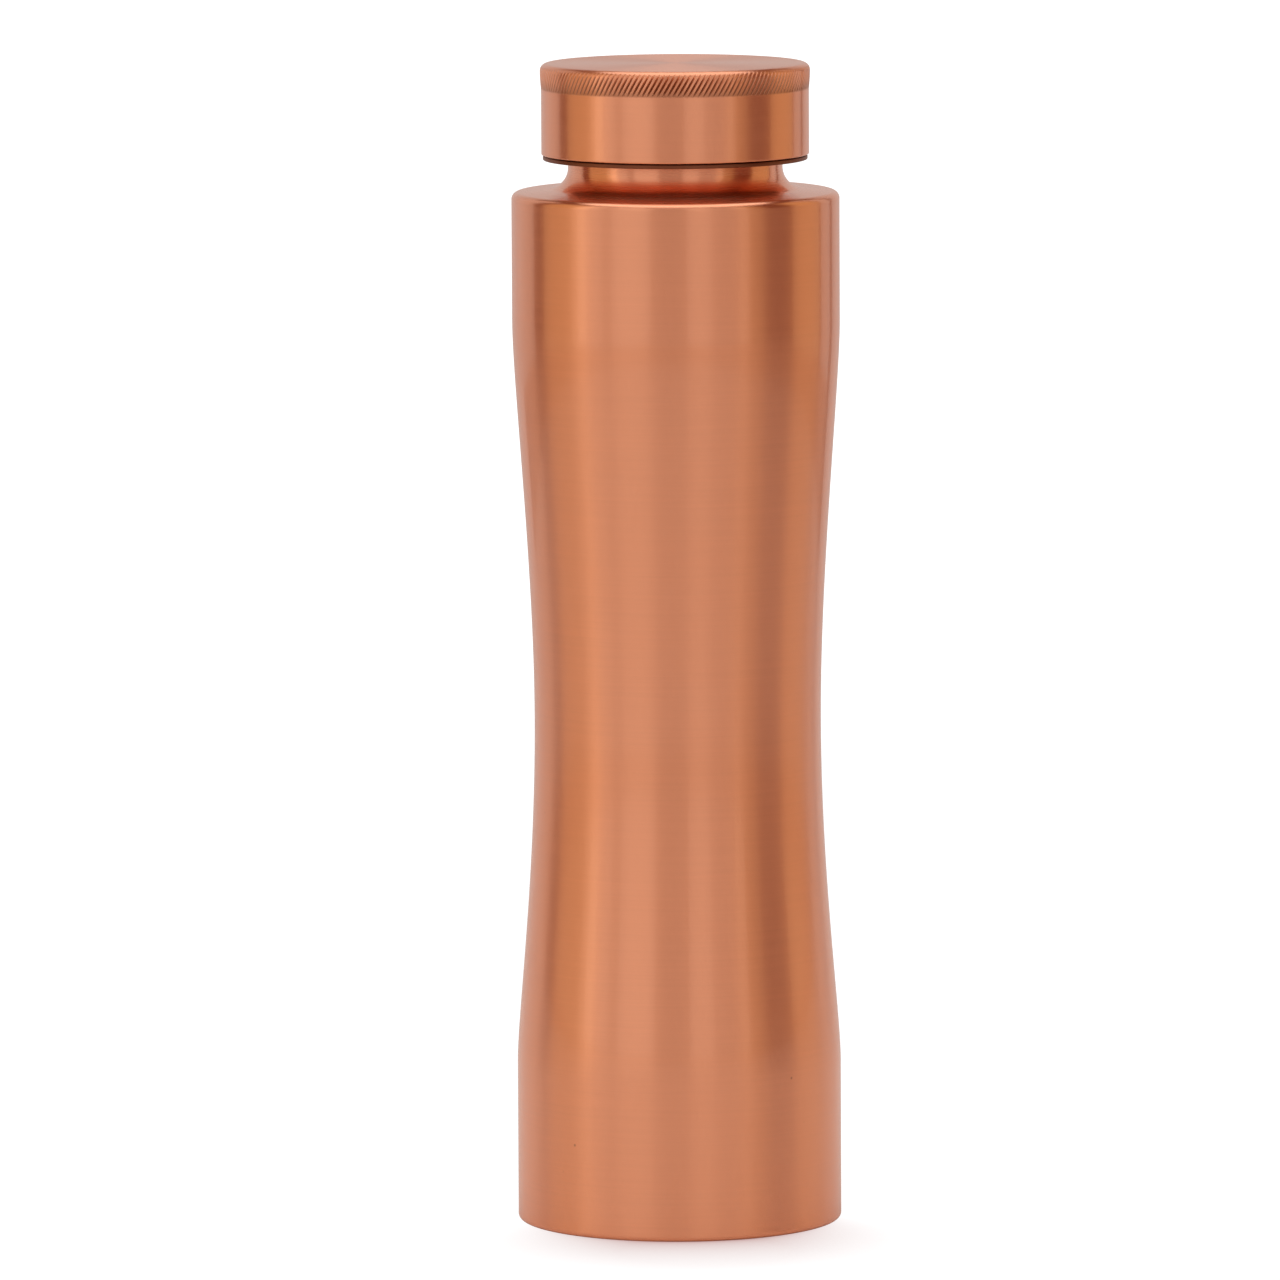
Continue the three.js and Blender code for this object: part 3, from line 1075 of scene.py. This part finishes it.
def white_table():
    """A matt white table. The camera sees it as an overexposed white glow, with a soft shadow painted
    before the foot.
    """
    material = bpy.data.materials.new("White Table")
    material.use_nodes = True
    tree = material.node_tree
    paint = tree.nodes["Principled BSDF"]
    paint.inputs["Base Color"].default_value = (0.9, 0.9, 0.9, 1)
    paint.inputs["Roughness"].default_value = 0.9
    paint.inputs["Specular IOR Level"].default_value = 0.1
    openness = tree.nodes.new("ShaderNodeAmbientOcclusion")
    openness.inputs["Distance"].default_value = SHADOW_LENGTH
    place = tree.nodes.new("ShaderNodeTexCoord").outputs["Object"]
    away = tree.nodes.new("ShaderNodeVectorMath")
    away.operation = "DISTANCE"
    away.inputs[1].default_value = SHADOW_CENTRE
    tree.links.new(place, away.inputs[0])
    shade = remap(tree, openness.outputs["AO"], 0.5, 0.98, 1, 0)
    front = remap(
        tree, away.outputs["Value"], SHADOW_FULL_WITHIN, SHADOW_FADED_BEYOND, 1, SHADOW_ELSEWHERE)
    strength = math_node(tree, "MULTIPLY", shade, front)
    # What the camera sees is a glow, not lamp light: TABLE_SEEN white with the painted shadow mixed in.
    lit = tree.nodes.new("ShaderNodeEmission")
    tree.links.new(mix_colour(tree, strength, TABLE_SEEN, SHADOW_SEEN), lit.inputs["Color"])
    output = tree.nodes["Material Output"]
    camera_share(tree, lit.outputs[0], paint.outputs[0], output.inputs["Surface"])
    return material


def studio_world():
    """White where the camera looks past the table, and a dim warm room for everything else."""
    world = bpy.data.worlds.new("Studio")
    world.use_nodes = True
    bpy.context.scene.world = world
    tree = world.node_tree
    tree.nodes.clear()
    room = tree.nodes.new("ShaderNodeBackground")
    room.inputs["Color"].default_value = DIM_ROOM
    white = tree.nodes.new("ShaderNodeBackground")
    white.inputs["Color"].default_value = WHITE_SEEN
    output = tree.nodes.new("ShaderNodeOutputWorld")
    camera_share(tree, white.outputs[0], room.outputs[0], output.inputs["Surface"])


class BOTTLE_OT_stage(bpy.types.Operator):
    """Set up the white table, the soft lights and the camera"""

    bl_idname = "bottle.stage"
    bl_label = "Stage"

    def execute(self, context):
        make_active(None)
        bpy.ops.mesh.primitive_circle_add(vertices=128, radius=TABLE_RADIUS, fill_type="NGON")
        table = context.active_object
        table.name = "table"
        table.data.materials.append(white_table())

        for box in SOFTBOXES:
            box.place()
        bpy.ops.object.light_add(type="AREA", location=(0, 0, TOP_BOX_HEIGHT))
        top = context.active_object
        top.name = "top_box"
        top.visible_camera = False
        top.data.shape = "DISK"
        top.data.size = 2 * TOP_BOX_RADIUS
        top.data.energy = 4 * math.pi * TOP_BOX_RADIUS ** 2 * TOP_BOX_BRIGHTNESS
        studio_world()

        bpy.ops.object.camera_add(location=(0, -CAMERA_DISTANCE, CAMERA_HEIGHT))
        camera = context.active_object
        camera.name = "camera"
        camera.data.lens = CAMERA_LENS
        camera.data.sensor_width = 36
        look = (camera.location - AIM).to_track_quat("Z", "Y").to_euler()
        look.rotate_axis("Z", -CAMERA_ROLL)
        camera.rotation_euler = look
        context.scene.camera = camera
        context.scene.view_settings.view_transform = "Standard"
        return {"FINISHED"}


class BOTTLE_PT_panel(bpy.types.Panel):
    bl_label = "Copper Bottle"
    bl_idname = "BOTTLE_PT_panel"
    bl_space_type = "VIEW_3D"
    bl_region_type = "UI"
    bl_category = "Bottle"

    def draw(self, context):
        for settings in (context.scene.bottle_sizes, context.scene.bottle_colours):
            for name in settings.bl_rna.properties.keys():
                if name not in ("rna_type", "name"):
                    self.layout.prop(settings, name)
        for operator in OPERATORS:
            self.layout.operator(operator.bl_idname)


OPERATORS = (
    BOTTLE_OT_stage,
    BOTTLE_OT_body_shell,
    BOTTLE_OT_base_pan,
    BOTTLE_OT_mouth_ring,
    BOTTLE_OT_cap_shell,
    BOTTLE_OT_cap_sleeve,
    BOTTLE_OT_cap_disc,
    BOTTLE_OT_sealing_washer,
)
CLASSES = (BottleSizes, BottleColours, *OPERATORS, BOTTLE_PT_panel)


def register():
    for each in CLASSES:
        bpy.utils.register_class(each)
    bpy.types.Scene.bottle_sizes = bpy.props.PointerProperty(type=BottleSizes)
    bpy.types.Scene.bottle_colours = bpy.props.PointerProperty(type=BottleColours)


def unregister():
    del bpy.types.Scene.bottle_colours
    del bpy.types.Scene.bottle_sizes
    for each in reversed(CLASSES):
        bpy.utils.unregister_class(each)


def main():
    register()
    bpy.ops.bottle.stage()
    bpy.ops.bottle.body_shell()
    bpy.ops.bottle.base_pan()
    bpy.ops.bottle.mouth_ring()
    bpy.ops.bottle.cap_shell()
    bpy.ops.bottle.cap_sleeve()
    bpy.ops.bottle.cap_disc()
    bpy.ops.bottle.sealing_washer()


if __name__ == "__main__":
    main()
